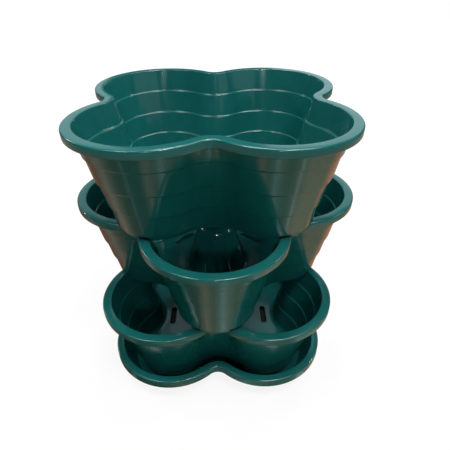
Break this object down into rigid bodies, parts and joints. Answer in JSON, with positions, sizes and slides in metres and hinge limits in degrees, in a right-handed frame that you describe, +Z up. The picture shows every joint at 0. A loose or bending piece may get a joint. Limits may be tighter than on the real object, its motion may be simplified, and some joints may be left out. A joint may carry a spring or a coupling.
{
  "type": "vertical planter tower",
  "caption": "Stacking planter tower: four-lobed pots with flanged rims, stepped tapering walls and a hollow centre cone, each turned half a lobe over the one below, on a lobed saucer.",
  "frame": {"origin": "on the ground under the middle of the saucer", "axes": "+Z up along the stack; -Y is the side that the picture shows; the saucer, lower pot and top pot have their lobes on the diagonals of X and Y, and the middle pot has them on X and Y"},
  "size_m": [0.34, 0.34, 0.345],
  "materials": {
    "green_plastic": "glossy moulded bottle green"
  },
  "bodies": {
    "saucer": {"saucer": "green_plastic"},
    "lower_pot": {"lower_pot": "green_plastic"},
    "middle_pot": {"middle_pot": "green_plastic"},
    "top_pot": {"top_pot": "green_plastic"}
  },
  "joints": [
    {"name": "lower_pot_lift", "type": "slide", "parent": "saucer", "child": "lower_pot", "axis": [0, 0, 1], "range_m": [0, 0.08]},
    {"name": "middle_pot_lift", "type": "slide", "parent": "lower_pot", "child": "middle_pot", "axis": [0, 0, 1], "range_m": [0, 0.08]},
    {"name": "top_pot_lift", "type": "slide", "parent": "middle_pot", "child": "top_pot", "axis": [0, 0, 1], "range_m": [0, 0.08]}
  ]
}
